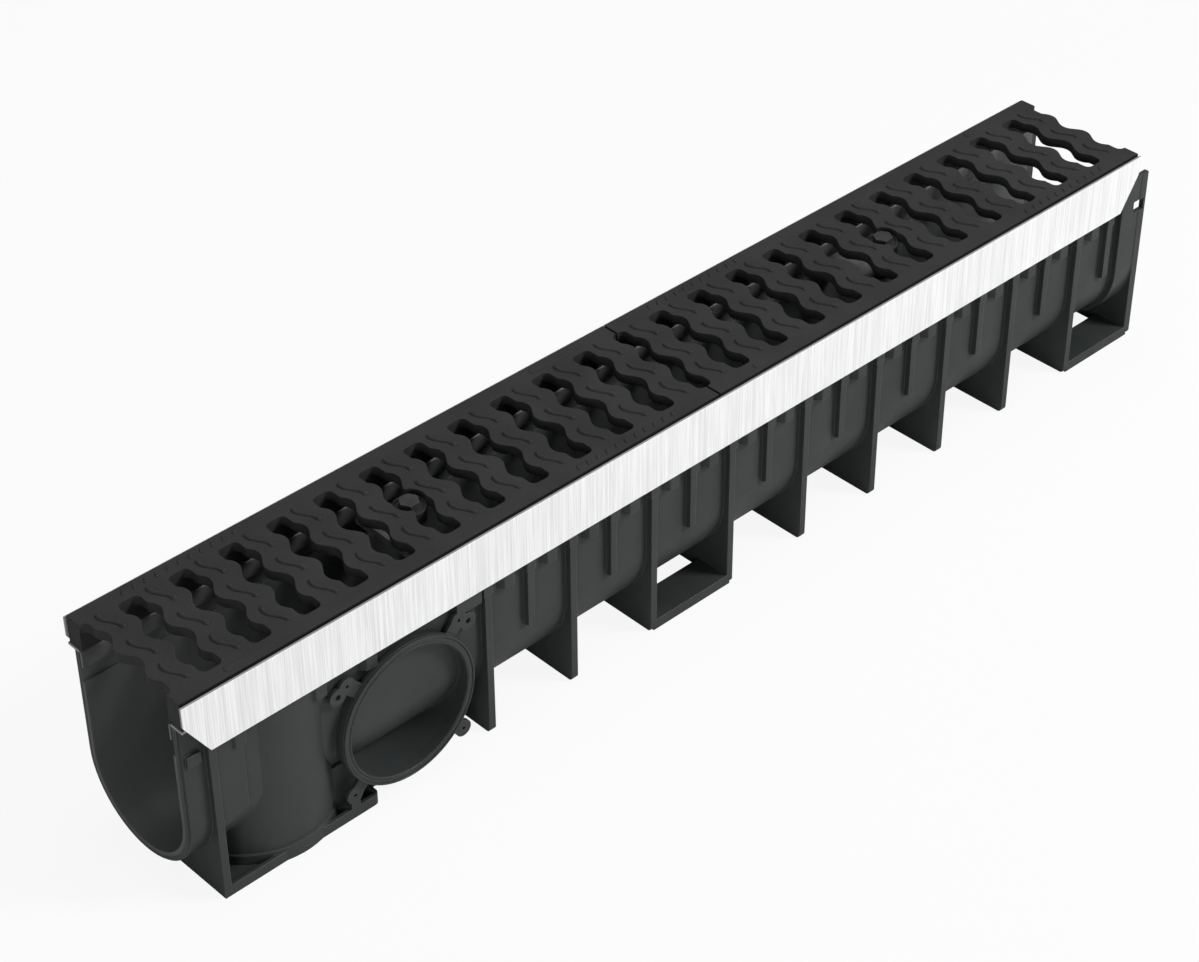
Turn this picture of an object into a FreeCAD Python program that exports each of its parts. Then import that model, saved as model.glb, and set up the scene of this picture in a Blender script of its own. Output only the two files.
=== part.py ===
import FreeCAD, Part
import math
import os
import re
import Sketcher
from FreeCAD import Placement, Rotation, Vector

# Slot drain: a moulded drainage channel with cast gratings between two galvanised edge rails.
# Millimetres. X runs along the channel from the spigot to the socket, Z is up from the ground,
# and Y = 0 is the middle of the channel.

doc = FreeCAD.newDocument("SlotDrain")

# Driving sizes

SIZES = [
    ("coupling_pitch", "1000", "distance from one coupled channel to the next"),
    ("coupling_gap", "1", "gap left between two coupled bodies"),
    ("overall_height", "190", "ground to grating top"),
    ("clear_width", "100", "inside width of the channel"),
    ("invert_height", "25", "ground to the bottom of the water way"),
    ("wall", "7", "thickness of the moulded channel wall"),
    ("foot_width", "125", "width over the cross plates"),
    ("spigot_length", "19.5", "length of the male end"),
    ("spigot_swell", "0.5", "how much the spigot is thicker than the wall"),
    ("spigot_nose", "1.5", "length and height of the step at the tip of the spigot"),
    ("socket_play", "0.7", "clearance round a spigot in the socket"),
    ("collar_wall", "3.8", "thickness of the female end"),
    ("collar_length", "30.5", "length of the female end"),
    ("latch_height", "134.5", "ground to the middle of the latch"),
    ("latch_tall", "11", "height of the latch window"),
    ("latch_long", "12.5", "length of the latch window"),
    ("latch_inset", "2.5", "latch window to the end face"),
    ("latch_reach", "2.6", "how far the latch tooth stands out of the spigot"),
    ("latch_play", "0.8", "clearance between latch tooth and window"),
    ("leg_thickness", "6", "thickness of the plate behind the spigot"),
    ("end_thickness", "7.5", "thickness of the plate at the socket"),
    ("plate_thickness", "6", "thickness of a cross plate"),
    ("plate_corner", "4", "radius of a plate's lower corners"),
    ("first_plate", "244.5", "leg face to the first cross plate"),
    ("sole_thickness", "9", "thickness of the soles that join two plates into a foot"),
    ("sole_width", "31", "width of a sole, from the side of the foot inwards"),
    ("stub_thickness", "6", "thickness of a short rib between two plates"),
    ("stub_width", "124", "width over the short ribs"),
    ("stub_bottom", "79", "ground to the lower tip of a short rib"),
    ("stub_slant", "5", "rise of a short rib's lower end"),
    ("tooth_width", "9", "front width of a tooth under the apron"),
    ("tooth_flare", "4", "how much wider a tooth is at its root"),
    ("tooth_bottom", "126", "ground to the lower end of a tooth"),
    ("cap_width", "8", "width of the cap on a plate or rib"),
    ("cap_proud", "0.5", "how far a cap stands out of the plates"),
    ("cap_bottom", "130", "ground to the lower end of a cap"),
    ("outlet_offset", "70.5", "leg face to the middle of the bottom outlet"),
    ("outlet_diameter", "126", "outside of the bottom outlet"),
    ("outlet_bore", "111", "inside of the bottom outlet, for a 110 mm pipe"),
    ("outlet_mouth", "17.5", "length of the bottom outlet's full bore"),
    ("outlet_ring", "3", "height of the ring round the pipe above its frame"),
    ("ring_proud", "1.5", "how far that ring stands out of the pipe"),
    ("bore_draft", "4", "how much narrower an outlet gets behind its mouth, on the radius"),
    ("outlet_tooth_near", "44", "bottom outlet's middle to the tooth on its near side"),
    ("outlet_tooth_far", "25", "bottom outlet's middle to the tooth on its far side"),
    ("frame_length", "139.5", "leg face to the end of the outlet's frame"),
    ("frame_height", "9", "height of the outlet's frame"),
    ("frame_wall", "3", "wall of the outlet's frame"),
    ("frame_floor", "3", "floor of the pockets in the frame's corners"),
    ("frame_corner", "5", "corner radius of the outlet's frame"),
    ("pad_end", "29.5", "leg face to the end of the side pad"),
    ("pad_width", "120", "width over the side pads"),
    ("pad_bottom", "61", "ground to the lower end of a side pad at the leg"),
    ("pad_slant", "7.5", "rise of that lower end away from the leg"),
    ("side_offset", "168.5", "leg face to the middle of the side outlet"),
    ("side_height", "71.6", "ground to the middle of the side outlet"),
    ("side_bore", "108", "inside of the side outlet"),
    ("side_tube", "117", "outside of the side outlet's tube"),
    ("side_rim", "121", "outside of the side outlet's rim"),
    ("side_proud", "3.5", "how far the side outlet stands out of the plates"),
    ("rim_setback", "1", "tube's mouth to the face of the side outlet's rim"),
    ("rim_thickness", "3.5", "thickness of the side outlet's rim"),
    ("side_tooth", "28", "side outlet's middle to the tooth above it"),
    ("lug_spacing", "102", "distance between the small screw holes, both ways"),
    ("lug_radius", "7", "radius of a screw lug"),
    ("lug_thickness", "3", "thickness of a screw lug"),
    ("lug_hole", "3.2", "diameter of the small screw holes"),
    ("ear_spacing", "119", "distance between the large holes in the upper lugs"),
    ("ear_height", "46", "height of the large holes above the outlet's middle"),
    ("ear_hole", "5", "diameter of the large holes"),
    ("neck_width", "11.2", "width of the strip that ties a screw lug to the tube"),
    ("neck_root", "2", "how far that strip runs into the tube"),
    ("stem_width", "8", "width of the stem under the lower lug beside the bottom outlet"),
    ("shelf_length", "22", "length of the block above the upper lug"),
    ("shelf_start", "1", "near end of that block to the hole of the lug"),
    ("shelf_bottom", "126.6", "ground to the underside of that block"),
    ("rail_span", "131", "width over the two edge rails"),
    ("rail_below_top", "2", "grating top to the top of the rails"),
    ("sheet_thickness", "2", "thickness of the galvanised sheet"),
    ("seat_depth", "23", "grating top to the ledge that it rests on"),
    ("ledge_width", "15", "width of the ledge inside the upright"),
    ("lip_drop", "15", "ledge to the lower edge of the lip"),
    ("lip_bend", "3", "outside radius of the bend between ledge and lip"),
    ("apron_drop", "47.5", "height of the rail's outer band"),
    ("apron_cut_long", "20", "length of the slanted cut at a rail's end"),
    ("apron_cut_tall", "31", "height of the slanted cut at a rail's end"),
    ("recess_depth", "26", "rim to the bottom of the inner recess"),
    ("recess_width", "2.5", "depth of the recess in each side wall"),
    ("side_clearance", "0.7", "grating to rail, each side"),
    ("grating_gap", "2", "gap between two gratings"),
    ("bar_thickness", "8", "thickness of the grating's bars"),
    ("slot_width", "17.7", "width of a wavy slot"),
    ("slot_length", "97", "length of a wavy slot"),
    ("slot_corner", "5", "corner radius at the ends of a slot"),
    ("wave_height", "3.7", "height of the slot's wave"),
    ("wave_length", "36.2", "length of the slot's wave"),
    ("wave_slope", "33", "angle in degrees at which a slot's side crosses its middle line"),
    ("end_overrun", "3", "end slot's middle to the end of the casting"),
    ("boss_diameter", "25", "diameter of the bolt boss"),
    ("boss_depth", "16", "grating top to the underside of the boss"),
    ("pit_diameter", "26", "diameter of the pit round the bolt head"),
    ("pit_depth", "6.5", "depth of the pit round the bolt head"),
    ("boss_rim", "1.3", "width and height of the rim on the boss"),
    ("bolt_diameter", "10", "diameter of the lock bolt"),
    ("bolt_play", "0.5", "clearance round the bolt in the casting, on the radius"),
    ("bolt_length", "50", "length of the bolt under its head"),
    ("head_across", "14", "width across the flats of the bolt head"),
    ("head_top", "14.7", "diameter of the bolt head's top face"),
    ("nut_across", "16", "width across the flats of the nut"),
    ("head_height", "6", "height of the bolt head"),
    ("nut_height", "8", "height of the nut under the locking bar"),
    ("thread_play", "0.05", "clearance in the nut's thread, on the radius"),
    ("running_gap", "0.3", "gap between the turning lock and what it turns against"),
    ("bar_width", "20", "width of the locking bar"),
    ("bar_height", "6", "thickness of the locking bar"),
    ("bar_play", "0.8", "locking bar's end to the wall of the recess"),
    ("over_cut", "1", "how far a cutter reaches past the faces that it opens"),
]

# Plates, slots and other repeats

PLATE_COUNT = 9
FOOT_PLATES = (2, 8)
SLOT_COUNT = 11
HALF_WAVES = 4

# Places worked out from the driving sizes

LAYOUT = [
    ("body_length", "coupling_pitch - coupling_gap + spigot_length"),
    ("tip_x", "-body_length / 2"),
    ("end_x", "body_length / 2"),
    ("leg_x", "tip_x + spigot_length"),
    ("rail_end_x", "tip_x + coupling_pitch"),
    ("inner_half", "clear_width / 2"),
    ("axis_z", "invert_height + inner_half"),
    ("outer_half", "inner_half + wall"),
    ("foot_half", "foot_width / 2"),
    ("spigot_half", "outer_half + spigot_swell"),
    ("socket_half", "spigot_half + socket_play"),
    ("collar_half", "socket_half + collar_wall"),
    ("ledge_z", "overall_height - seat_depth"),
    ("rim_z", "ledge_z - sheet_thickness"),
    ("recess_z", "rim_z - recess_depth"),
    ("recess_half", "inner_half + recess_width"),
    ("rail_half", "rail_span / 2"),
    ("upright_half", "rail_half - sheet_thickness"),
    ("lip_half", "upright_half - ledge_width"),
    ("lip_z", "ledge_z - lip_drop"),
    ("rail_top_z", "overall_height - rail_below_top"),
    ("apron_z", "rail_top_z - apron_drop"),
    ("plate_x", "leg_x + first_plate"),
    ("plate_pitch", "(end_x - end_thickness - plate_x) / plate_count"),
    ("tooth_half", "tooth_width / 2"),
    ("outlet_x", "leg_x + outlet_offset"),
    ("side_x", "leg_x + side_offset"),
    ("side_front", "foot_half + side_proud"),
    ("lug_half", "lug_spacing / 2"),
    ("grating_half", "upright_half - side_clearance"),
    ("grating_length", "coupling_pitch / 2 - grating_gap"),
    ("slot_pitch", "(grating_length + 2 * end_overrun) / (slot_count + 1)"),
    ("seat_z", "overall_height - pit_depth"),
    ("head_z", "seat_z + running_gap"),
    ("bar_top_z", "lip_z - running_gap"),
    ("bar_half", "recess_half - bar_play"),
    ("bolt_radius", "bolt_diameter / 2"),
]


def make_sheet():
    """The spreadsheet of driving sizes, one alias to a row."""
    sheet = doc.addObject("Spreadsheet::Sheet", "Sizes")
    for row, (alias, number, meaning) in enumerate(SIZES, 1):
        sheet.set("A%d" % row, meaning)
        sheet.set("B%d" % row, number)
        sheet.setAlias("B%d" % row, alias)
    doc.recompute()
    return sheet


def make_layout():
    """One property for each place that several pieces share, bound to the sheet."""
    holder = doc.addObject("App::FeaturePython", "Layout")
    for name, count in (("plate_count", PLATE_COUNT), ("slot_count", SLOT_COUNT)):
        holder.addProperty("App::PropertyFloat", name)
        setattr(holder, name, count)
    for name, text in LAYOUT:
        holder.addProperty("App::PropertyFloat", name)
        holder.setExpression(name, ALIAS.sub(r"Sizes.\g<0>", text))
    doc.recompute()
    return holder


ALIAS = re.compile(r"\b(" + "|".join(alias for alias, number, meaning in SIZES) + r")\b")
PLACE = re.compile(r"\b(plate_count|slot_count|" + "|".join(name for name, text in LAYOUT) + r")\b")
sizes = make_sheet()
layout = make_layout()


def formula(text):
    """A formula in the words of the sheet and the layout, as FreeCAD reads it."""
    return PLACE.sub(r"Layout.\g<0>", ALIAS.sub(r"Sizes.\g<0>", str(text)))


def size(name):
    """The present value of a size or a place."""
    if ALIAS.fullmatch(name):
        return float(sizes.get(name))
    return float(getattr(layout, name))


def bind(feature, **formulas):
    """Ties properties to formulas; X, Y and Z stand for the placement's base."""
    for name, text in formulas.items():
        path = "Placement.Base." + name.lower() if name in ("X", "Y", "Z") else name
        feature.setExpression(path, formula(text))
    return feature


# Building blocks

def box(name, x, y, z):
    """A box between two formulas on each axis."""
    solid = doc.addObject("Part::Box", name)
    bind(solid, X=x[0], Y=y[0], Z=z[0])
    for edge, (low, high) in (("Length", x), ("Width", y), ("Height", z)):
        bind(solid, **{edge: "(%s) - (%s)" % (high, low)})
    return solid


def across(half):
    """The span from one side of the channel to the other."""
    return ("-(%s)" % half, half)


def cylinder(name, axis, centre, radius, span):
    """A cylinder along X, Y or Z, between two formulas on that axis."""
    solid = doc.addObject("Part::Cylinder", name)
    turn = {"X": Rotation(Vector(0, 1, 0), 90), "Y": Rotation(Vector(1, 0, 0), -90), "Z": Rotation()}
    solid.Placement = Placement(Vector(), turn[axis])
    base = dict(centre)
    base[axis] = span[0]
    bind(solid, Radius=radius, Height="(%s) - (%s)" % (span[1], span[0]), **base)
    return solid


def fuse(name, solids):
    whole = doc.addObject("Part::MultiFuse", name)
    whole.Shapes = solids
    whole.Refine = True
    return whole


def cut(name, base, tool):
    rest = doc.addObject("Part::Cut", name)
    rest.Base = base
    rest.Tool = tool
    rest.Refine = True
    return rest


def common(name, first, second):
    shared = doc.addObject("Part::Common", name)
    shared.Base = first
    shared.Tool = second
    return shared


def mirrored(name, source, normal):
    """The same piece on the other side of the plane through the origin."""
    twin = doc.addObject("Part::Mirroring", name)
    twin.Source = source
    twin.Normal = normal
    return twin


def sketch_body(name, plane, start):
    """A body with an empty sketch on one of its planes, shifted along the plane's normal."""
    body = doc.addObject("PartDesign::Body", name)
    sketch = body.newObject("Sketcher::SketchObject", name + "_sketch")
    origin_plane = [item for item in body.Origin.OriginFeatures if item.Role == plane][0]
    sketch.AttachmentSupport = [(origin_plane, "")]
    sketch.MapMode = "FlatFace"
    bind(sketch, **{"AttachmentOffset.Base.z": start})
    return body, sketch


def pad(body, sketch, length):
    feature = body.newObject("PartDesign::Pad", body.Name + "_pad")
    feature.Profile = sketch
    bind(feature, Length=length)
    body.Tip = feature
    return feature


def tie(sketch, kind, *where, text):
    """Adds a constraint and binds its value to a formula."""
    index = sketch.addConstraint(Sketcher.Constraint(kind, *where, 1.0))
    sketch.renameConstraint(index, "tie_%d" % index)
    sketch.setExpression("Constraints.tie_%d" % index, formula(text))


def numbers(pairs):
    """Present values of a list of formula pairs, read through a helper object."""
    helper = doc.addObject("App::FeaturePython", "Reader")
    points = []
    for index, pair in enumerate(pairs):
        for axis, text in zip("uv", pair):
            helper.addProperty("App::PropertyFloat", "%s%d" % (axis, index))
            helper.setExpression("%s%d" % (axis, index), formula(text))
    doc.recompute([helper])
    for index in range(len(pairs)):
        points.append((getattr(helper, "u%d" % index), getattr(helper, "v%d" % index)))
    doc.removeObject(helper.Name)
    return points


def polygon_body(name, plane, corners, start, length):
    """A straight-sided profile whose corners are formulas, padded along the plane's normal."""
    body, sketch = sketch_body(name, plane, start)
    points = [Vector(u, v, 0) for u, v in numbers(corners)]
    count = len(points)
    for index in range(count):
        sketch.addGeometry(Part.LineSegment(points[index], points[(index + 1) % count]))
    for index in range(count):
        sketch.addConstraint(Sketcher.Constraint("Coincident", index, 2, (index + 1) % count, 1))
    for index, (u, v) in enumerate(corners):
        tie(sketch, "DistanceX", -1, 1, index, 1, text=u)
        tie(sketch, "DistanceY", -1, 1, index, 1, text=v)
    pad(body, sketch, length)
    return body


def u_body(name, half, span, top="rim_z"):
    """A block with a half-round bottom: the outside or the inside of the channel."""
    body, sketch = sketch_body(name, "YZ_Plane", span[0])
    (reach, height), (middle, unused) = numbers([(half, top), ("axis_z", "0")])
    centre = Vector(0, middle, 0)
    bottom = Part.ArcOfCircle(Part.Circle(centre, Vector(0, 0, 1), reach), math.pi, 2 * math.pi)
    sketch.addGeometry(bottom)
    sketch.addGeometry(Part.LineSegment(Vector(reach, middle, 0), Vector(reach, height, 0)))
    sketch.addGeometry(Part.LineSegment(Vector(reach, height, 0), Vector(-reach, height, 0)))
    sketch.addGeometry(Part.LineSegment(Vector(-reach, height, 0), Vector(-reach, middle, 0)))
    for first, first_end, second, second_end in ((0, 2, 1, 1), (1, 2, 2, 1), (2, 2, 3, 1), (3, 2, 0, 1)):
        sketch.addConstraint(Sketcher.Constraint("Coincident", first, first_end, second, second_end))
    sketch.addConstraint(Sketcher.Constraint("Vertical", 1))
    sketch.addConstraint(Sketcher.Constraint("Vertical", 3))
    sketch.addConstraint(Sketcher.Constraint("Horizontal", 2))
    sketch.addConstraint(Sketcher.Constraint("PointOnObject", 0, 3, -2))
    tie(sketch, "DistanceY", -1, 1, 0, 3, text="axis_z")
    tie(sketch, "DistanceY", -1, 1, 0, 1, text="axis_z")
    tie(sketch, "DistanceY", -1, 1, 0, 2, text="axis_z")
    tie(sketch, "DistanceY", -1, 1, 1, 2, text=top)
    tie(sketch, "Radius", 0, text=half)
    pad(body, sketch, "(%s) - (%s)" % (span[1], span[0]))
    return body


# Channel body

def spigot():
    """The male end with its stepped nose and its two latch teeth."""
    body = u_body("spigot_block", "spigot_half", ("tip_x + spigot_nose", "leg_x"))
    nose = u_body("spigot_tip", "spigot_half - spigot_nose", ("tip_x", "leg_x"))
    start = "tip_x + latch_inset + coupling_gap / 2 + latch_play"
    tooth = box(
        "latch_tooth",
        (start, "%s + latch_long - 2 * latch_play" % start),
        across("spigot_half + latch_reach"),
        ("latch_height - latch_tall / 2 + latch_play", "latch_height + latch_tall / 2 - latch_play"),
    )
    return [body, nose, tooth]


def corner_cutter(name, axis, span, corner, turns, radius):
    """What rounds a square edge along one axis. Turns say on which side of the solid the edge is."""
    spans = {axis: ("%s - over_cut" % span[0], "%s + over_cut" % span[1])}
    centre = {}
    for letter, turn in turns.items():
        centre[letter] = "%s - %d * %s" % (corner[letter], turn, radius)
        beyond = "%s + %d * over_cut" % (corner[letter], turn)
        spans[letter] = (centre[letter], beyond) if turn > 0 else (beyond, centre[letter])
    square = box(name + "_square", spans["X"], spans["Y"], spans["Z"])
    rounding = cylinder(
        name + "_round", axis, centre, radius, ("%s - 2 * over_cut" % span[0], "%s + 2 * over_cut" % span[1]),
    )
    return cut(name, square, rounding)


def rounded_plate(name, start, thickness):
    """A full-width cross plate with rounded lower corners."""
    end = "%s + %s" % (start, thickness)
    plate = box(name + "_block", (start, end), across("foot_half"), ("0", "rim_z"))
    corners = []
    for side, turn in (("right", -1), ("left", 1)):
        place = {"Y": "%d * foot_half" % turn, "Z": "0"}
        corners.append(corner_cutter(
            "%s_%s_corner" % (name, side), "X", (start, end), place, {"Y": turn, "Z": -1}, "plate_corner",
        ))
    return cut(name, plate, fuse(name + "_corners", corners))


def cross_plates():
    """The leg plate, the row of cross plates and the end plate, with the soles of the two feet."""
    plates = [rounded_plate("leg_plate", "leg_x", "leg_thickness")]
    for index in range(PLATE_COUNT):
        start = "plate_x + %d * plate_pitch" % index
        plates.append(rounded_plate("plate_%d" % index, start, "plate_thickness"))
    plates.append(rounded_plate("end_plate", "end_x - end_thickness", "end_thickness"))
    soles = (
        ("right", "-foot_half", "sole_width - foot_half"),
        ("left", "foot_half - sole_width", "foot_half"),
    )
    for index in FOOT_PLATES:
        for side, start, end in soles:
            plates.append(box(
                "foot_sole_%d_%s" % (index, side),
                ("plate_x + %d * plate_pitch + plate_thickness / 2" % index,
                 "plate_x + %d * plate_pitch + plate_thickness / 2" % (index + 1)),
                (start, end), ("0", "sole_thickness"),
            ))
    return plates


def stub(name, middle):
    """A short rib between two plates, with a slanted lower end."""
    corners = [
        ("-stub_width / 2", "stub_bottom"),
        ("-inner_half", "stub_bottom - stub_slant"),
        ("inner_half", "stub_bottom - stub_slant"),
        ("stub_width / 2", "stub_bottom"),
        ("stub_width / 2", "rim_z"),
        ("-stub_width / 2", "rim_z"),
    ]
    return polygon_body(name, "YZ_Plane", corners, "%s - stub_thickness / 2" % middle, "stub_thickness")


def tooth(name, middle):
    """A pair of tapered teeth, one on each side, that stand under the rails' aprons."""
    root = "(tooth_half + tooth_flare)"
    corners = [
        ("%s - %s" % (middle, root), "-outer_half"),
        ("%s - tooth_half" % middle, "-foot_half"),
        ("%s + tooth_half" % middle, "-foot_half"),
        ("%s + tooth_half" % middle, "foot_half"),
        ("%s - tooth_half" % middle, "foot_half"),
        ("%s - %s" % (middle, root), "outer_half"),
    ]
    return polygon_body(name, "XY_Plane", corners, "tooth_bottom", "rim_z - tooth_bottom")


def cap(name, middle):
    """The thicker head of a plate or rib behind the apron."""
    return box(
        name, ("%s - cap_width / 2" % middle, "%s + cap_width / 2" % middle),
        across("foot_half + cap_proud"), ("cap_bottom", "rim_z"),
    )


def wall_ribs():
    """Short ribs, teeth and caps along the side walls."""
    parts = []
    for index in range(PLATE_COUNT):
        plate_middle = "(plate_x + %d * plate_pitch + plate_thickness / 2)" % index
        parts.append(cap("plate_cap_%d" % index, plate_middle))
        parts.append(stub("stub_%d" % index, "(%s + plate_pitch / 2)" % plate_middle))
        parts.append(cap("stub_cap_%d" % index, "(%s + plate_pitch / 2)" % plate_middle))
        for quarter in (1, 3):
            middle = "(%s + %d * plate_pitch / 4)" % (plate_middle, quarter)
            if index < PLATE_COUNT - 1 or quarter == 1:
                parts.append(tooth("tooth_%d_%d" % (index, quarter), middle))
    places = ("outlet_x - outlet_tooth_near", "outlet_x + outlet_tooth_far", "side_x - side_tooth")
    for index, place in enumerate(places):
        parts.append(tooth("outlet_tooth_%d" % index, "(%s)" % place))
    return parts


def bottom_outlet():
    """The upright pipe stub in its square frame, with pockets in the frame's corners."""
    pipe = cylinder("outlet_pipe", "Z", {"X": "outlet_x", "Y": "0"}, "outlet_diameter / 2", ("0", "rim_z"))
    frame = box("outlet_frame", ("leg_x", "leg_x + frame_length"), across("foot_half"), ("0", "frame_height"))
    pocket = box(
        "outlet_pocket",
        ("leg_x + leg_thickness", "leg_x + frame_length - frame_wall"),
        across("foot_half - frame_wall"), ("frame_floor", "frame_height + over_cut"),
    )
    tools = [pocket]
    for side, turn in (("right", -1), ("left", 1)):
        place = {"X": "leg_x + frame_length", "Y": "%d * foot_half" % turn}
        name = "outlet_frame_%s_corner" % side
        turns = {"X": 1, "Y": turn}
        tools.append(corner_cutter(name, "Z", ("0", "frame_height"), place, turns, "frame_corner"))
    ring_top = "frame_height + outlet_ring"
    middle = {"X": "outlet_x", "Y": "0"}
    ring = cylinder("outlet_foot", "Z", middle, "outlet_diameter / 2 + ring_proud", ("0", ring_top))
    return [cut("outlet_tray", frame, fuse("outlet_tray_cuts", tools)), ring, pipe]


def side_outlet():
    """The side outlet's tube across the channel, its rims and its screw lugs."""
    centre = {"X": "side_x", "Z": "side_height"}
    parts = [
        cylinder("side_pipe", "Y", centre, "side_tube / 2", across("side_front")),
        cylinder("side_rims", "Y", centre, "side_rim / 2", across("side_front - rim_setback")),
    ]
    return parts


def rim_relief():
    """What is cut away between the two rims, so that they stand out of the thinner tube."""
    centre = {"X": "side_x", "Z": "side_height"}
    behind = across("side_front - rim_setback - rim_thickness")
    ring = cylinder("rim_between", "Y", centre, "side_rim / 2 + over_cut", behind)
    core = cylinder("rim_core", "Y", centre, "side_tube / 2", across("side_front"))
    return cut("rim_relief", ring, core)


def neck(name, run, rise):
    """The strip that ties a screw lug to the rim of the side outlet."""
    inner = "(side_tube / 2 - neck_root) / sqrt(2)"
    outer = "lug_half"
    half = "neck_width / 2 / sqrt(2)"
    corners = []
    for reach, turn in ((inner, 1), (outer, 1), (outer, -1), (inner, -1)):
        corners.append((
            "side_x + %d * (%s) - %d * %s" % (run, reach, turn * rise, half),
            "side_height + %d * (%s) + %d * %s" % (rise, reach, turn * run, half),
        ))
    return polygon_body(name, "XZ_Plane", corners, "foot_half - lug_thickness", "lug_thickness")


def side_lugs():
    """Four screw lugs round each mouth of the side outlet, with their holes."""
    depth = ("-foot_half", "-foot_half + lug_thickness")
    through = across("foot_half + over_cut")
    lugs = []
    holes = []
    for level, rise in (("upper", 1), ("lower", -1)):
        for end, run in (("near", -1), ("far", 1)):
            name = "%s_%s" % (level, end)
            centre = {"X": "side_x + %d * lug_half" % run, "Z": "side_height + %d * lug_half" % rise}
            lugs.append(cylinder("lug_" + name, "Y", centre, "lug_radius", depth))
            lugs.append(neck("neck_" + name, run, rise))
            holes.append(cylinder("lug_hole_" + name, "Y", centre, "lug_hole / 2", through))
            if rise > 0:
                ear = {"X": "side_x + %d * ear_spacing / 2" % run, "Z": "side_height + ear_height"}
                lugs.append(cylinder("ear_" + name, "Y", ear, "lug_radius", depth))
                holes.append(cylinder("ear_hole_" + name, "Y", ear, "ear_hole / 2", through))
    lugs.append(box(
        "lug_stem", ("side_x - lug_half - stem_width / 2", "side_x - lug_half + stem_width / 2"),
        depth, ("frame_height / 2", "side_height - lug_half"),
    ))
    front = fuse("lugs_front", lugs)
    return [front, mirrored("lugs_back", front, Vector(0, 1, 0))], holes


def make_channel_body():
    """The moulded channel: one piece, ribbed outside and smooth inside."""
    trough = u_body("trough", "outer_half", ("leg_x", "end_x"))
    collar = u_body("collar", "collar_half", ("end_x - collar_length", "end_x"))
    shelf = box(
        "shelf", ("side_x + lug_half - shelf_start", "side_x + lug_half + shelf_length"),
        across("foot_half"), ("shelf_bottom", "rim_z"),
    )
    pad_corners = [
        ("leg_x + leg_thickness / 2", "pad_bottom"),
        ("leg_x + pad_end", "pad_bottom + pad_slant"),
        ("leg_x + pad_end", "rim_z"),
        ("leg_x + leg_thickness / 2", "rim_z"),
    ]
    side_pads = polygon_body("side_pads", "XZ_Plane", pad_corners, "-pad_width / 2", "pad_width")
    lugs, lug_holes = side_lugs()
    outlet = bottom_outlet()
    outside = fuse("outside", [trough, collar, shelf, side_pads] + spigot() + cross_plates() + wall_ribs()
                   + outlet + side_outlet())
    shaped = cut("shaped", outside, rim_relief())
    whole = fuse("body_solid", [shaped] + lugs)

    open_ends = ("tip_x - over_cut", "end_x + over_cut")
    open_top = "rim_z + over_cut"
    water_way = u_body("water_way", "inner_half", open_ends, top=open_top)
    recess = box("recess", open_ends, across("recess_half"), ("recess_z", open_top))
    socket = u_body("socket", "socket_half", ("end_x - spigot_length", "end_x + over_cut"), top=open_top)
    window_start = "end_x - latch_inset - latch_long"
    windows = box(
        "latch_windows", (window_start, "%s + latch_long" % window_start), across("collar_half + over_cut"),
        ("latch_height - latch_tall / 2", "latch_height + latch_tall / 2"),
    )
    hollows = fuse("hollows", [water_way, recess, socket, windows, outlet_hollows()] + lug_holes)
    return cut("channel_body", whole, hollows)


def tapered(name, centre, radius, mouth, tilt):
    """The drafted hollow behind an outlet's mouth; the tilt about X says which way it runs inwards."""
    cone = doc.addObject("Part::Cone", name)
    cone.Placement = Placement(Vector(), Rotation(Vector(1, 0, 0), tilt))
    place = dict(centre)
    place["Y" if tilt else "Z"] = mouth
    bind(cone, Radius1=radius, Radius2="%s - bore_draft" % radius, Height="outer_half", **place)
    return cone


def outlet_hollows():
    """The inside of the outlets, up to the wall of the water way, which is cut open on site."""
    side = {"X": "side_x", "Z": "side_height"}
    below = {"X": "outlet_x", "Y": "0"}
    full = ("leg_x", "end_x")
    side_mouth = [
        cylinder("side_mouth_right", "Y", side, "side_bore / 2", ("-side_front - over_cut", "-outer_half")),
        cylinder("side_mouth_left", "Y", side, "side_bore / 2", ("outer_half", "side_front + over_cut")),
        tapered("side_throat_right", side, "side_bore / 2", "-outer_half", -90),
        tapered("side_throat_left", side, "side_bore / 2", "outer_half", 90),
    ]
    outlet_pipe = cylinder("outlet_keep", "Z", below, "outlet_diameter / 2", ("0", "rim_z"))
    side_keep = fuse("side_keep", [u_body("trough_keep", "outer_half", full), outlet_pipe])
    side_hollow = cut("side_hollow", fuse("side_hole", side_mouth), side_keep)
    outlet_mouth = [
        cylinder("outlet_mouth", "Z", below, "outlet_bore / 2", ("-over_cut", "outlet_mouth")),
        tapered("outlet_throat", below, "outlet_bore / 2", "outlet_mouth", 0),
    ]
    trough_roof = u_body("trough_roof", "outer_half", full)
    outlet_hollow = cut("outlet_hollow", fuse("outlet_hole", outlet_mouth), trough_roof)
    return fuse("outlet_hollows", [side_hollow, outlet_hollow])


# Edge rails

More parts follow.
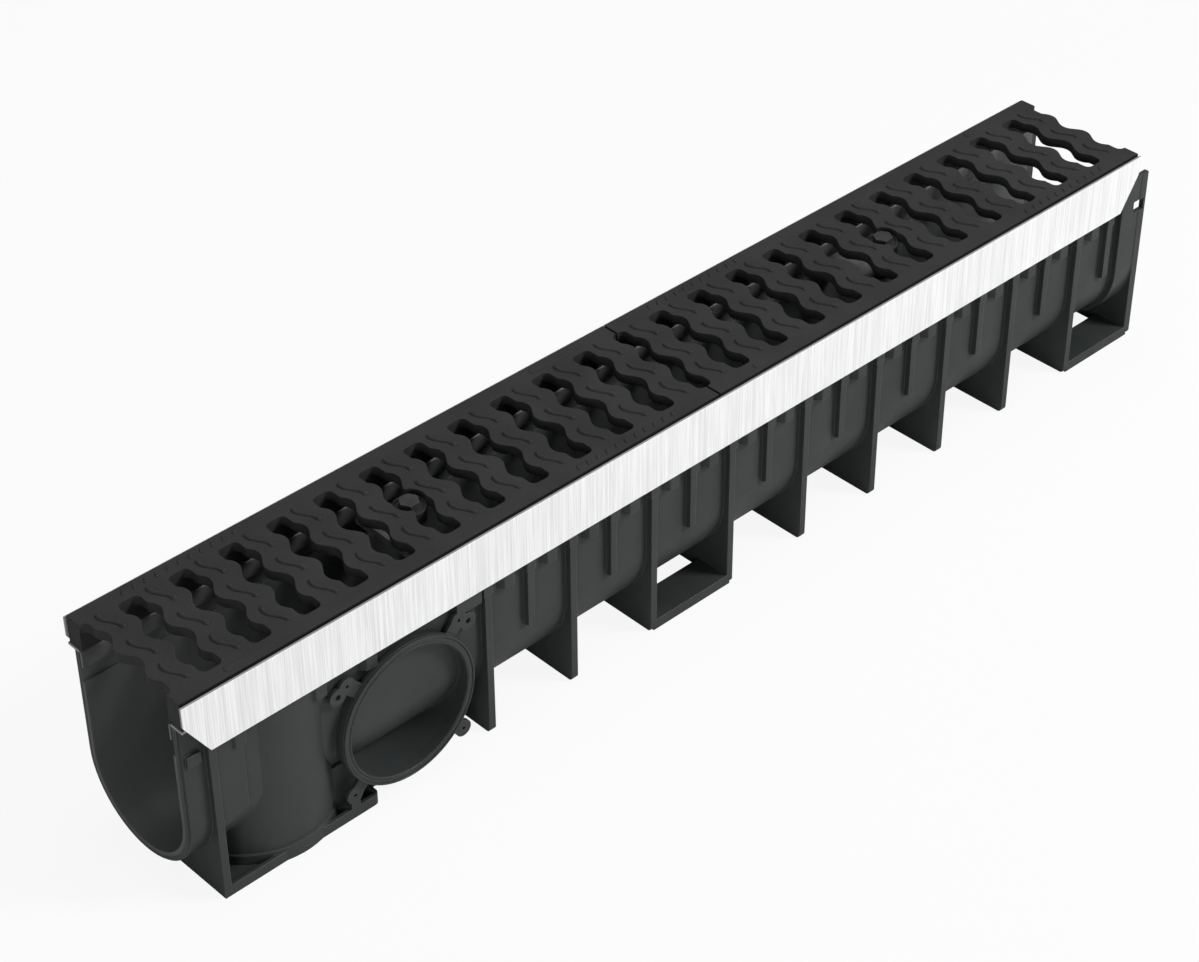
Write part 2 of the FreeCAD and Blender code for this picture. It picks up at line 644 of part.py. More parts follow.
def make_rails():
    """The two galvanised rails: an upright with an outer apron, a ledge and a lip turned down."""
    corners = [
        ("-rail_half", "apron_z"),
        ("-upright_half", "apron_z"),
        ("-upright_half", "rim_z"),
        ("-lip_half - sheet_thickness", "rim_z"),
        ("-lip_half - sheet_thickness", "lip_z"),
        ("-lip_half", "lip_z"),
        ("-lip_half", "ledge_z"),
        ("-upright_half", "ledge_z"),
        ("-upright_half", "rail_top_z"),
        ("-rail_half", "rail_top_z"),
    ]
    profile = polygon_body("rail_profile", "YZ_Plane", corners, "tip_x", "coupling_pitch")
    bend_place = {"Y": "-lip_half", "Z": "ledge_z"}
    turns = {"Y": 1, "Z": 1}
    cuts = [corner_cutter("lip_bend_cut", "X", ("tip_x", "rail_end_x"), bend_place, turns, "lip_bend")]
    for name, end, turn in (("near", "tip_x", 1), ("far", "rail_end_x", -1)):
        beyond = "%s - %d * over_cut" % (end, turn)
        slant_end = "%s + %d * apron_cut_long" % (end, turn)
        slant = [
            (slant_end, "apron_z"),
            (end, "apron_z + apron_cut_tall"),
            (beyond, "apron_z + apron_cut_tall"),
            (beyond, "apron_z - over_cut"),
            (slant_end, "apron_z - over_cut"),
        ]
        depth = "sheet_thickness + over_cut"
        cuts.append(polygon_body("apron_cut_" + name, "XZ_Plane", slant, "upright_half", depth))
    rail_right = cut("rail_right", profile, fuse("rail_cuts", cuts))
    return rail_right, mirrored("rail_left", rail_right, Vector(0, 1, 0))


# Gratings

def wave_side(centre, across_slot):
    """One wavy side of a slot: arcs at the crests, joined by straight runs that cross the middle line."""
    height = size("wave_height")
    quarter = size("wave_length") / 4
    slope = math.radians(size("wave_slope"))
    radius = (quarter * math.sin(slope) - height * math.cos(slope)) / (1 - math.cos(slope))
    run = (quarter - radius * math.sin(slope)) / math.cos(slope)
    shift = centre + Vector(across_slot, 0, 0)
    last = shift + Vector(0, -HALF_WAVES * quarter, 0)
    edges = []
    for index in range(HALF_WAVES):
        crest_y = (2 * index + 1 - HALF_WAVES) * quarter
        bulge = 1 if index % 2 else -1
        reach = quarter - run * math.cos(slope)
        foot = bulge * run * math.sin(slope)
        before = shift + Vector(foot, crest_y - reach, 0)
        crest = shift + Vector(bulge * height, crest_y, 0)
        after = shift + Vector(foot, crest_y + reach, 0)
        edges.append(Part.makeLine(last, before))
        edges.append(Part.Arc(before, crest, after).toShape())
        last = after
    edges.append(Part.makeLine(last, shift + Vector(0, HALF_WAVES * quarter, 0)))
    return edges


def slot_end(centre, turn):
    """One end of a slot: straight sides from the last wave to two rounded corners."""
    half_width = size("slot_width") / 2
    corner = size("slot_corner")
    wave_y = turn * HALF_WAVES * size("wave_length") / 4
    end_y = turn * size("slot_length") / 2
    diagonal = corner * (1 - math.sqrt(0.5))
    edges = []
    for side in (-1, 1):
        first = centre + Vector(side * half_width, end_y - turn * corner, 0)
        middle = centre + Vector(side * (half_width - diagonal), end_y - turn * diagonal, 0)
        last = centre + Vector(side * (half_width - corner), end_y, 0)
        edges.append(Part.makeLine(centre + Vector(side * half_width, wave_y, 0), first))
        edges.append(Part.Arc(first, middle, last).toShape())
    flat = half_width - corner
    edges.append(Part.makeLine(centre + Vector(-flat, end_y, 0), centre + Vector(flat, end_y, 0)))
    return edges


def wavy_slots(name, middle_x):
    """The slots of one grating, and the half slots that shape its two ends."""
    top = size("overall_height") + size("over_cut")
    bottom = size("ledge_z") - size("over_cut")
    half_width = size("slot_width") / 2
    count = SLOT_COUNT + 2
    tools = []
    for index in range(count):
        centre = Vector(middle_x + (index - (count - 1) / 2) * size("slot_pitch"), 0, bottom)
        edges = wave_side(centre, -half_width) + wave_side(centre, half_width)
        edges += slot_end(centre, -1) + slot_end(centre, 1)
        wire = Part.Wire(Part.__sortEdges__(edges))
        tools.append(Part.Face(wire).extrude(Vector(0, 0, top - bottom)))
    feature = doc.addObject("Part::Feature", name)
    feature.Shape = Part.makeCompound(tools)
    return feature


def make_grating(place, start):
    """A casting with wavy bars, side flanges that stand on the ledges and a boss for its bolt."""
    name = "grating_" + place
    end = "%s + grating_length" % start
    middle = "(%s + grating_length / 2)" % start
    middle_x = numbers([(middle, "0")])[0][0]
    plate = box(
        name + "_plate", (start, end), across("grating_half"),
        ("overall_height - bar_thickness", "overall_height"),
    )
    depth = ("ledge_z", "overall_height")
    flanges = [
        box(name + "_flange_right", (start, end), ("-grating_half", "-slot_length / 2"), depth),
        box(name + "_flange_left", (start, end), ("slot_length / 2", "grating_half"), depth),
    ]
    blank = fuse(name + "_blank", [plate] + flanges)
    slotted = cut(name + "_slotted", blank, wavy_slots(name + "_slots", middle_x))
    bolt_line = {"X": middle, "Y": "0"}
    open_top = "overall_height + over_cut"
    boss_bottom = "overall_height - boss_depth"
    pit = cylinder(name + "_pit", "Z", bolt_line, "pit_diameter / 2", ("seat_z", open_top))
    hole = cylinder(
        name + "_hole", "Z", bolt_line, "bolt_radius + bolt_play",
        (boss_bottom + " - over_cut", open_top),
    )
    rim_top = "seat_z + boss_rim"
    boss = cylinder(name + "_boss", "Z", bolt_line, "boss_diameter / 2", (boss_bottom, rim_top))
    dish = cylinder(name + "_dish", "Z", bolt_line, "boss_diameter / 2 - boss_rim", ("seat_z", open_top))
    solid = fuse(name + "_solid", [cut(name + "_pitted", slotted, pit), boss])
    return cut(name, solid, fuse(name + "_bolt_room", [dish, hole])), middle


# Locks

def hexagon(name, middle, across_flats, bottom, height):
    """An upright hexagonal prism."""
    prism = doc.addObject("Part::Prism", name)
    prism.Polygon = 6
    bind(prism, Circumradius="%s / sqrt(3)" % across_flats, Height=height, X=middle, Z=bottom)
    return prism


def make_lock(place, middle):
    """The lock of one grating: its bolt, the bar that hooks under the rails' lips and the nut."""
    bolt_line = {"X": middle, "Y": "0"}
    head = hexagon("bolt_head_" + place, middle, "head_across", "head_z", "head_height")
    dome = doc.addObject("Part::Cone", "bolt_dome_" + place)
    bind(
        dome, Radius1="head_top / 2 + head_height * sqrt(3)", Radius2="head_top / 2",
        Height="head_height", X=middle, Z="head_z",
    )
    shank_span = ("head_z - bolt_length", "head_z + over_cut")
    shank = cylinder("bolt_shank_" + place, "Z", bolt_line, "bolt_radius", shank_span)
    bolt = fuse("bolt_" + place, [common("bolt_cap_" + place, head, dome), shank])

    bar_span = ("bar_top_z - bar_height", "bar_top_z")
    through = ("0", "overall_height")
    blank = box(
        "bar_blank_" + place, ("%s - bar_width / 2" % middle, "%s + bar_width / 2" % middle),
        across("bar_half"), bar_span,
    )
    sweep = cylinder("bar_sweep_" + place, "Z", bolt_line, "bar_half", bar_span)
    bar_hole = cylinder("bar_hole_" + place, "Z", bolt_line, "bolt_radius + running_gap", through)
    bar = cut("locking_bar_" + place, common("bar_round_" + place, blank, sweep), bar_hole)

    nut_bottom = "bar_top_z - bar_height - nut_height"
    nut_block = hexagon("nut_block_" + place, middle, "nut_across", nut_bottom, "nut_height")
    nut_hole = cylinder("nut_hole_" + place, "Z", bolt_line, "bolt_radius + thread_play", through)
    nut = cut("nut_" + place, nut_block, nut_hole)
    return [bolt, bar, nut]


# The whole drain

channel_body = make_channel_body()
rail_right, rail_left = make_rails()
nodes = [channel_body, rail_left, rail_right]
for place, start in (
    ("near", "tip_x + grating_gap / 2"),
    ("far", "tip_x + coupling_pitch / 2 + grating_gap / 2"),
):
    grating, bolt_middle = make_grating(place, start)
    nodes.append(grating)
    nodes.extend(make_lock(place, bolt_middle))

for node in nodes:
    node.Label = node.Name
doc.recompute()

for item in doc.Objects:
    if "Invalid" in item.State or "Error" in item.State:
        raise RuntimeError("%s did not build: %s" % (item.Label, item.State))

os.makedirs("parts", exist_ok=True)
for node in nodes:
    shape = node.Shape
    if shape.isNull() or not shape.isValid():
        raise RuntimeError("%s has no valid shape" % node.Label)
    shape.exportStep("parts/%s.step" % node.Label)
    print("%-20s solids %d  volume %.0f  %s" % (node.Label, len(shape.Solids), shape.Volume, shape.BoundBox))
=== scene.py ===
import math

import bmesh
import bpy
from mathutils import Matrix, Vector


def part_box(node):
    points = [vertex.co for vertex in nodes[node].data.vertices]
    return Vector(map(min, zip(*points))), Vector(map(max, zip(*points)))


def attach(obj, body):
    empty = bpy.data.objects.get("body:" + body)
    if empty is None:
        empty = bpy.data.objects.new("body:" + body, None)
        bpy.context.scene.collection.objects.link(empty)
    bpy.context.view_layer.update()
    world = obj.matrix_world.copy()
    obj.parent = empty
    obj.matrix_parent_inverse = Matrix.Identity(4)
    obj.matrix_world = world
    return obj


# Looks for the slot drain: a material with softened edges for every part, the raised relief of the
# castings, the ridges and webs of the side outlets, the closed parts of the channel's wall, a white
# studio floor, plain soft light and the camera. Metres throughout, with lengths written in MM.

MM = 0.001

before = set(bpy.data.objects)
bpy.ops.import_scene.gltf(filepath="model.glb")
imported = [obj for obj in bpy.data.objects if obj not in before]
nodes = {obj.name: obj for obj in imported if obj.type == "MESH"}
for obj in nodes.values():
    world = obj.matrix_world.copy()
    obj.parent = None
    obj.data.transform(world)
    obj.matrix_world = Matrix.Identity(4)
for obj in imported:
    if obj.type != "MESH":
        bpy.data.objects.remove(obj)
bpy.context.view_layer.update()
scene = bpy.context.scene
scene.view_settings.view_transform = "Standard"


# Sizes of the drain that the looks and the added pieces follow

CLEAR_HALF = 50 * MM
WALL = 7 * MM
INVERT = 25 * MM
RECESS_HALF = 52.5 * MM
CASTING_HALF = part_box("grating_near")[1].y
BAND_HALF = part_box("rail_left")[1].y
LEDGE_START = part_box("rail_left")[0].y + 3.0 * MM
SIDE_OUTLET = (-321.25 * MM, 71.6 * MM)
RIM_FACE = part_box("channel_body")[1].y


# Node helpers

def new_material(name):
    """A material with an empty tree but for its output."""
    material = bpy.data.materials.new(name)
    material.use_nodes = True
    tree = material.node_tree
    tree.nodes.clear()
    tree.nodes.new("ShaderNodeOutputMaterial")
    return material


def add(owner, kind, **values):
    """A node with its properties set, and its inputs by name with spaces written as underscores."""
    node = owner.node_tree.nodes.new(kind)
    for key, value in values.items():
        if hasattr(node, key):
            setattr(node, key, value)
        else:
            node.inputs[key.replace("_", " ")].default_value = value
    return node


def link(owner, source, target):
    owner.node_tree.links.new(source, target)


def output(material):
    return next(n for n in material.node_tree.nodes if n.type == "OUTPUT_MATERIAL")


def grey(level):
    return (level, level, level, 1)


def object_space(material, scale):
    """Object coordinates stretched by a factor for each axis."""
    place = add(material, "ShaderNodeTexCoord")
    stretch = add(material, "ShaderNodeMapping", Scale=scale)
    link(material, place.outputs["Object"], stretch.inputs["Vector"])
    return stretch.outputs["Vector"]


def object_axes(material):
    """The outputs X, Y and Z of the object coordinates."""
    place = add(material, "ShaderNodeTexCoord")
    axes = add(material, "ShaderNodeSeparateXYZ")
    link(material, place.outputs["Object"], axes.inputs["Vector"])
    return axes.outputs


def side_reach(material):
    """Distance from the upright plane along the middle of the drain."""
    reach = add(material, "ShaderNodeMath", operation="ABSOLUTE")
    link(material, object_axes(material)["Y"], reach.inputs[0])
    return reach.outputs["Value"]


def noise(material, where, scale, detail=3, roughness=0.5):
    node = add(material, "ShaderNodeTexNoise", Scale=scale, Detail=detail, Roughness=roughness)
    link(material, where, node.inputs["Vector"])
    return node.outputs["Fac"]


def remap(owner, value, low, high, to_low, to_high):
    node = add(owner, "ShaderNodeMapRange", From_Min=low, From_Max=high, To_Min=to_low, To_Max=to_high)
    link(owner, value, node.inputs["Value"])
    return node.outputs["Result"]


def mixed(material, factor, first, second):
    """A colour between two colours, each a value or a socket."""
    node = add(material, "ShaderNodeMix", data_type="RGBA")
    link(material, factor, node.inputs[0])
    for index, colour in ((6, first), (7, second)):
        if isinstance(colour, tuple):
            node.inputs[index].default_value = colour
        else:
            link(material, colour, node.inputs[index])
    return node.outputs[2]


def bumped(material, height, strength, distance, normal):
    node = add(material, "ShaderNodeBump", Strength=strength, Distance=distance)
    link(material, height, node.inputs["Height"])
    link(material, normal, node.inputs["Normal"])
    return node.outputs["Normal"]


def softened(material, radius):
    """The normal of a surface whose edges are softly rounded."""
    return add(material, "ShaderNodeBevel", samples=6, Radius=radius).outputs["Normal"]


def edge_wear_and_highlight(material, soft, share):
    """A share of a lighter colour on the rounded edges, and none on the flat of the surface: wear on
    the iron and steel, a painted highlight on the plastic.
    """
    flat = add(material, "ShaderNodeNewGeometry")
    turn = add(material, "ShaderNodeVectorMath", operation="DOT_PRODUCT")
    link(material, soft, turn.inputs[0])
    link(material, flat.outputs["Normal"], turn.inputs[1])
    mask = remap(material, turn.outputs["Value"], 0.97, 0.80, 0, 1)
    return remap(material, mask, 0, 1, 0, share)


def shader(material, **values):
    surface = add(material, "ShaderNodeBsdfPrincipled", **values)
    link(material, surface.outputs["BSDF"], output(material).inputs["Surface"])
    return surface


# Materials

PLASTIC_DARK = (0.0335, 0.0375, 0.0370, 1)
PLASTIC_LIGHT = (0.0405, 0.0450, 0.0445, 1)
# painted light: a lighter tone inside the channel
PLASTIC_PAINTED_LIGHT_INSIDE = (0.085, 0.093, 0.091, 1)
# painted highlight: the paler tone of the plastic's edges
PLASTIC_EDGE_HIGHLIGHT = (0.130, 0.139, 0.137, 1)
IRON_DARK = (0.0280, 0.0280, 0.0285, 1)
IRON_LIGHT = (0.0355, 0.0355, 0.0360, 1)
IRON_SPECK = (0.070, 0.070, 0.071, 1)
IRON_WORN = (0.075, 0.075, 0.077, 1)
# painted shade: near black for the casting's outer sides
IRON_PAINTED_SIDE_SHADE = grey(0.006)
# painted shade: grey for the ledge inside the rail
ZINC_LEDGE_PAINTED_SHADE = grey(0.30)


def painted_light_inside_mask(m):
    """1 inside the channel, where a lighter tone is painted in as light, 0 elsewhere: a half round
    below upright walls.
    """
    axes = object_axes(m)
    drop = add(m, "ShaderNodeMath", operation="SUBTRACT")
    link(m, axes["Z"], drop.inputs[0])
    drop.inputs[1].default_value = INVERT + CLEAR_HALF
    below = add(m, "ShaderNodeMath", operation="MINIMUM")
    link(m, drop.outputs["Value"], below.inputs[0])
    below.inputs[1].default_value = 0
    across = add(m, "ShaderNodeCombineXYZ")
    link(m, axes["Y"], across.inputs["X"])
    link(m, below.outputs["Value"], across.inputs["Y"])
    reach = add(m, "ShaderNodeVectorMath", operation="LENGTH")
    link(m, across.outputs["Vector"], reach.inputs[0])
    return remap(m, reach.outputs["Value"], RECESS_HALF + 0.6 * MM, RECESS_HALF + 0.2 * MM, 0, 1)


def moulded_plastic():
    """Charcoal moulded plastic: a fine satin grain, faint flow marks, painted light inside the channel
    and painted highlights on its edges.
    """
    m = new_material("moulded_plastic")
    surface = shader(m, Specular_IOR_Level=0.20)
    even = object_space(m, (1, 1, 1))
    flow = noise(m, object_space(m, (3, 1, 0.7)), 9, 4)
    tone = mixed(m, remap(m, flow, 0.35, 0.65, 0, 1), PLASTIC_DARK, PLASTIC_LIGHT)
    # painted light: the inside of the channel gets a lighter tone than the rest of the plastic
    tone = mixed(m, painted_light_inside_mask(m), tone, PLASTIC_PAINTED_LIGHT_INSIDE)
    soft = softened(m, 0.9 * MM)
    # painted highlight: the rounded edges of the plastic are made paler
    tone = mixed(m, edge_wear_and_highlight(m, soft, 0.70), tone, PLASTIC_EDGE_HIGHLIGHT)
    link(m, tone, surface.inputs["Base Color"])
    link(m, remap(m, noise(m, even, 35), 0.3, 0.7, 0.40, 0.52), surface.inputs["Roughness"])
    link(m, bumped(m, noise(m, even, 1700, 2), 0.12, 0.10 * MM, soft), surface.inputs["Normal"])
    return m


def cast_iron():
    """Coated cast iron: matt charcoal with the pebbled skin of a sand casting, with painted shade on
    its sides.
    """
    m = new_material("cast_iron")
    surface = shader(m, Specular_IOR_Level=0.14)
    even = object_space(m, (1, 1, 1))
    cloud = noise(m, even, 22, 4)
    speck = noise(m, even, 900, 2)
    tone = mixed(m, remap(m, cloud, 0.35, 0.65, 0, 1), IRON_DARK, IRON_LIGHT)
    tone = mixed(m, remap(m, speck, 0.56, 0.72, 0, 0.35), tone, IRON_SPECK)
    soft = softened(m, 0.9 * MM)
    tone = mixed(m, edge_wear_and_highlight(m, soft, 0.30), tone, IRON_WORN)
    # painted shade: the outer sides of the casting are made near black, as for the shadow in the gap
    # beside the rail
    side = remap(m, side_reach(m), CASTING_HALF - 0.5 * MM, CASTING_HALF - 0.1 * MM, 0, 1)
    link(m, mixed(m, side, tone, IRON_PAINTED_SIDE_SHADE), surface.inputs["Base Color"])
    link(m, remap(m, cloud, 0.3, 0.7, 0.62, 0.76), surface.inputs["Roughness"])
    skin = bumped(m, noise(m, even, 620, 3, 0.6), 0.30, 0.25 * MM, soft)
    link(m, skin, surface.inputs["Normal"])
    return m


def galvanised_sheet():
    """Galvanised sheet: bright upright brushing on the outer band, and painted shade on the inside: a
    grey ledge and a darker lip.
    """
    m = new_material("galvanised_sheet")
    surface = shader(m, Metallic=0.15, Specular_IOR_Level=0.5)
    upright = object_space(m, (1, 1, 0.010))
    fine = noise(m, upright, 1500, 2, 0.6)
    broad = noise(m, upright, 260, 3, 0.6)
    band = mixed(m, remap(m, fine, 0.36, 0.60, 0, 1), grey(0.80), grey(1.0))
    band = mixed(m, remap(m, broad, 0.52, 0.70, 0, 0.55), band, grey(0.72))
    cloud = noise(m, object_space(m, (1, 1, 1)), 60)
    # painted shade: the lip inside the rail is made dark
    lip_painted_shade = mixed(m, remap(m, cloud, 0.35, 0.65, 0, 1), grey(0.085), grey(0.12))
    reach = side_reach(m)
    outside = remap(m, reach, BAND_HALF - 0.4 * MM, BAND_HALF - 0.1 * MM, 0, 1)
    on_ledge = remap(m, reach, LEDGE_START - 0.3 * MM, LEDGE_START + 0.3 * MM, 0, 1)
    # painted shade: inside the outer band the zinc is darker, grey on the ledge and darker still on
    # the lip
    inside = mixed(m, on_ledge, lip_painted_shade, ZINC_LEDGE_PAINTED_SHADE)
    link(m, mixed(m, outside, inside, band), surface.inputs["Base Color"])
    link(m, remap(m, broad, 0.3, 0.7, 0.42, 0.52), surface.inputs["Roughness"])
    brushing = bumped(m, fine, 0.08, 0.05 * MM, softened(m, 0.5 * MM))
    link(m, brushing, surface.inputs["Normal"])
    return m


def dark_steel(name, tone, roughness, metallic):
    """Steel with a dark coat, slightly mottled, rubbed brighter on its edges."""
    m = new_material(name)
    surface = shader(m, Specular_IOR_Level=0.3, Metallic=metallic)
    even = object_space(m, (1, 1, 1))
    cloud = noise(m, even, 120, 4)
    coat = mixed(m, remap(m, cloud, 0.35, 0.65, 0, 1), grey(tone * 0.85), grey(tone * 1.15))
    soft = softened(m, 0.5 * MM)
    coat = mixed(m, edge_wear_and_highlight(m, soft, 0.6), coat, grey(tone * 2.6))
    link(m, coat, surface.inputs["Base Color"])
    link(m, remap(m, cloud, 0.3, 0.7, roughness - 0.06, roughness + 0.06), surface.inputs["Roughness"])
    link(m, bumped(m, noise(m, even, 800, 2), 0.15, 0.1 * MM, soft), surface.inputs["Normal"])
    return m


PLASTIC = moulded_plastic()
IRON = cast_iron()
ZINC = galvanised_sheet()
LOCK = dark_steel("lock_steel", 0.034, 0.55, 0.0)
BAR = dark_steel("bar_steel", 0.24, 0.50, 0.2)

FINISH = {
    "channel_body": (PLASTIC, "moulded_plastic"),
    "rail_left": (ZINC, "galvanised_sheet"),
    "rail_right": (ZINC, "galvanised_sheet"),
    "grating_near": (IRON, "cast_grating"),
    "grating_far": (IRON, "cast_grating"),
    "bolt_near": (LOCK, "lock_steel"),
    "bolt_far": (LOCK, "lock_steel"),
    "nut_near": (LOCK, "lock_steel"),
    "nut_far": (LOCK, "lock_steel"),
    "locking_bar_near": (BAR, "bar_steel"),
    "locking_bar_far": (BAR, "bar_steel"),
}

for name, (material, slot) in FINISH.items():
    mesh = nodes[name].data
    mesh.materials.clear()
    mesh.materials.append(material)


# Mesh helpers

SUNK = 0.3 * MM


def skin(mesh, loops):
    """Faces between each closed loop of points and the next."""
    for first, second in zip(loops, loops[1:]):
        for index in range(len(first)):
            after = (index + 1) % len(first)
            mesh.faces.new((first[index], first[after], second[after], second[index]))


def closed_skin(mesh, loops):
    """Faces between the loops, and one over each end."""
    skin(mesh, loops)
    mesh.faces.new(loops[0])
    mesh.faces.new(loops[-1])


def new_piece(name, mesh, material):
    """A finished mesh as a piece of the scene, its faces turned outward."""
    bmesh.ops.recalc_face_normals(mesh, faces=mesh.faces)
    data = bpy.data.meshes.new(name)
    mesh.to_mesh(data)
    mesh.free()
    data.materials.append(material)
    piece = bpy.data.objects.new(name, data)
    scene.collection.objects.link(piece)
    return piece


# Closed parts of the channel's wall

LUG_LINE = 51 * MM
EAR_LINE = 59.5 * MM
EAR_RISE = 46 * MM
LUG_HOLE = 1.6 * MM
EAR_HOLE = 2.5 * MM
PLUG_SIDES = 24
RING_INNER = 58.45 * MM
RING_OUTER = 61.55 * MM
RING_START = math.radians(-37)
RING_STEPS = 72


def make_plugs():
    """The wall of the channel, kept closed behind the upper screw holes of its side outlets."""
    mesh = bmesh.new()
    x, z = SIDE_OUTLET
    turn = Matrix.Rotation(math.pi / 2, 4, "X")
    for line, rise, radius in ((LUG_LINE, LUG_LINE, LUG_HOLE), (EAR_LINE, EAR_RISE, EAR_HOLE)):
        for end in (-1, 1):
            for side in (1, -1):
                middle = Matrix.Translation((x + end * line, side * (CLEAR_HALF + WALL / 2), z + rise))
                bmesh.ops.create_cone(
                    mesh, cap_ends=True, segments=PLUG_SIDES, radius1=radius, radius2=radius,
                    depth=WALL, matrix=middle @ turn,
                )
    piece = new_piece("hole_plugs", mesh, PLASTIC)
    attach(piece, "drain")


def wall_reach(half, z):
    """How far out a face of the channel's wall lies at one height: upright above, round below."""
    drop = max(0.0, INVERT + CLEAR_HALF - z)
    return math.sqrt(half ** 2 - drop ** 2)


def make_wall_rings():
    """The channel's wall closed in the ring round each side outlet's tube, but not its bottom."""
    middle_x, middle_z = SIDE_OUTLET
    outer_half = CLEAR_HALF + WALL
    corners = (
        (RING_INNER, CLEAR_HALF), (RING_OUTER, CLEAR_HALF),
        (RING_OUTER, outer_half), (RING_INNER, outer_half),
    )
    mesh = bmesh.new()
    for side in (1, -1):
        sections = []
        for step in range(RING_STEPS + 1):
            angle = RING_START + (math.pi - 2 * RING_START) * step / RING_STEPS
            section = []
            for radius, half in corners:
                x = middle_x + radius * math.cos(angle)
                z = middle_z + radius * math.sin(angle)
                section.append(mesh.verts.new((x, side * wall_reach(half, z), z)))
            sections.append(section)
        closed_skin(mesh, sections)
    piece = new_piece("wall_rings", mesh, PLASTIC)
    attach(piece, "drain")


# Webs and ridges of the side outlets

WEB_START = -392 * MM
WEB_DEPTH = (49 * MM, 52 * MM)
WEB_BOTTOM = 6 * MM
WEB_TOP = 46 * MM
WEB_TURN = math.radians(66)
WEB_STEPS = 10
TUBE_MIDDLE = 56 * MM
RIM_RIDGES = ((54.9 * MM, 0.75 * MM), (59.5 * MM, 0.95 * MM))
RIM_STEPS = 96
RIDGE_ARC = 6


def make_outlet_webs():
    """The upright web in the corner between the bottom outlet and each side outlet's round tube."""
    x, z = SIDE_OUTLET
    end_turn = math.asin((z - WEB_TOP) / TUBE_MIDDLE)
    outline = [
        (WEB_START, WEB_TOP), (WEB_START, WEB_BOTTOM),
        (x - TUBE_MIDDLE * math.cos(WEB_TURN), WEB_BOTTOM),
    ]
    for step in range(WEB_STEPS + 1):
        angle = WEB_TURN + (end_turn - WEB_TURN) * step / WEB_STEPS
        outline.append((x - TUBE_MIDDLE * math.cos(angle), z - TUBE_MIDDLE * math.sin(angle)))
    mesh = bmesh.new()
    for side in (1, -1):
        layers = [[mesh.verts.new((u, side * depth, v)) for u, v in outline] for depth in WEB_DEPTH]
        closed_skin(mesh, layers)
    piece = new_piece("outlet_webs", mesh, PLASTIC)
    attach(piece, "drain")


def make_rim_ridges():
    """Two low rounded ridges round each mouth of the side outlet, with a groove left between them."""
    mesh = bmesh.new()
    middle_x, middle_z = SIDE_OUTLET
    for side in (1, -1):
        for radius, half in RIM_RIDGES:
            rings = []
            for step in range(RIM_STEPS):
                angle = 2 * math.pi * step / RIM_STEPS
                ring = []
                for turn in range(RIDGE_ARC + 1):
                    lift = math.pi * turn / RIDGE_ARC
                    reach = radius - half * math.cos(lift)
                    out = RIM_FACE - SUNK + (half + SUNK) * math.sin(lift)
                    x = middle_x + reach * math.cos(angle)
                    z = middle_z + reach * math.sin(angle)
                    ring.append(mesh.verts.new((x, side * out, z)))
                rings.append(ring)
            skin(mesh, rings + rings[:1])
    piece = new_piece("rim_ridges", mesh, PLASTIC)
    piece.data.shade_smooth()
    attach(piece, "drain")


# Raised relief of the castings

WAVE_HEIGHT = 3.7 * MM
WAVE_LENGTH = 36.2 * MM
SLOT_PITCH = 42 * MM
SLOT_COUNT = 11
BEAD_LENGTH = 25 * MM
BEAD_HALF_WIDTH = 2.1 * MM
BEAD_HEIGHT = 1.6 * MM
BEAD_CENTRES = (37 * MM, 1 * MM, -33 * MM)
BEAD_STEPS = 20
BEAD_ARC = 8
KNOB_START = 0.75
KNOB_SWELL = 0.35
TIP_SHARE = 0.02
TIP_HALF_WIDTH = 0.02 * MM
STUD_ARC = 6
STUD_LINE = 56.2 * MM
STUD_SHOULDER = 0.35
DASH_COUNT = 11
DASH_PITCH = 9.5 * MM
DASH_START = 42 * MM
DASH_SIZE = (6.0 * MM, 2.4 * MM, 0.6 * MM)
DASH_LEAN = math.radians(58)
PLATE_START = 62 * MM
PLATE_SIZE = (40 * MM, 6.5 * MM, 0.5 * MM)
RELIEF_SHARP = math.radians(40)


def wave(y):
    return -WAVE_HEIGHT * math.sin(2 * math.pi * y / WAVE_LENGTH)


def bead(mesh, x, middle_y, top):
    """One low rounded ridge that follows the wave of its bar and swells towards its right-hand end."""
    rings = []
    for step in range(BEAD_STEPS + 1):
        along = step / BEAD_STEPS
        y = middle_y + BEAD_LENGTH * (0.5 - along)
        end = min(along, 1 - along) * BEAD_LENGTH / BEAD_HALF_WIDTH
        swell = math.sqrt(max(0.0, 1 - (1 - min(end, 1)) ** 2))
        knob = 1 + KNOB_SWELL * max(0.0, (along - KNOB_START) / (1 - KNOB_START))
        half = max(BEAD_HALF_WIDTH * swell * knob, TIP_HALF_WIDTH)
        rise = BEAD_HEIGHT * max(swell, TIP_SHARE) + SUNK
        ring = []
        for turn in range(BEAD_ARC + 1):
            angle = math.pi * turn / BEAD_ARC
            place = (x + wave(y) - half * math.cos(angle), y, top - SUNK + rise * math.sin(angle))
            ring.append(mesh.verts.new(place))
        rings.append(ring)
    closed_skin(mesh, rings)


def stud(mesh, x, y, top, size, lean=0.0):
    """A low raised stud with round ends and a sloping rim, flat on top."""
    length, width, height = size
    half = width / 2
    straight = length / 2 - half
    rim = []
    for end in (1, -1):
        for turn in range(STUD_ARC + 1):
            angle = math.pi * (turn / STUD_ARC - 0.5)
            rim.append((end * (straight + half * math.cos(angle)), end * half * math.sin(angle)))
    shoulder = STUD_SHOULDER * height
    loops = []
    for shrink, level in ((0.0, top - SUNK), (0.0, top + shoulder), (shoulder, top + height)):
        loop = []
        for along, across in rim:
            u = along * (1 - shrink / (length / 2))
            v = across * (1 - shrink / half)
            stud_x = x + u * math.cos(lean) - v * math.sin(lean)
            stud_y = y + u * math.sin(lean) + v * math.cos(lean)
            loop.append(mesh.verts.new((stud_x, stud_y, level)))
        loops.append(loop)
    closed_skin(mesh, loops)


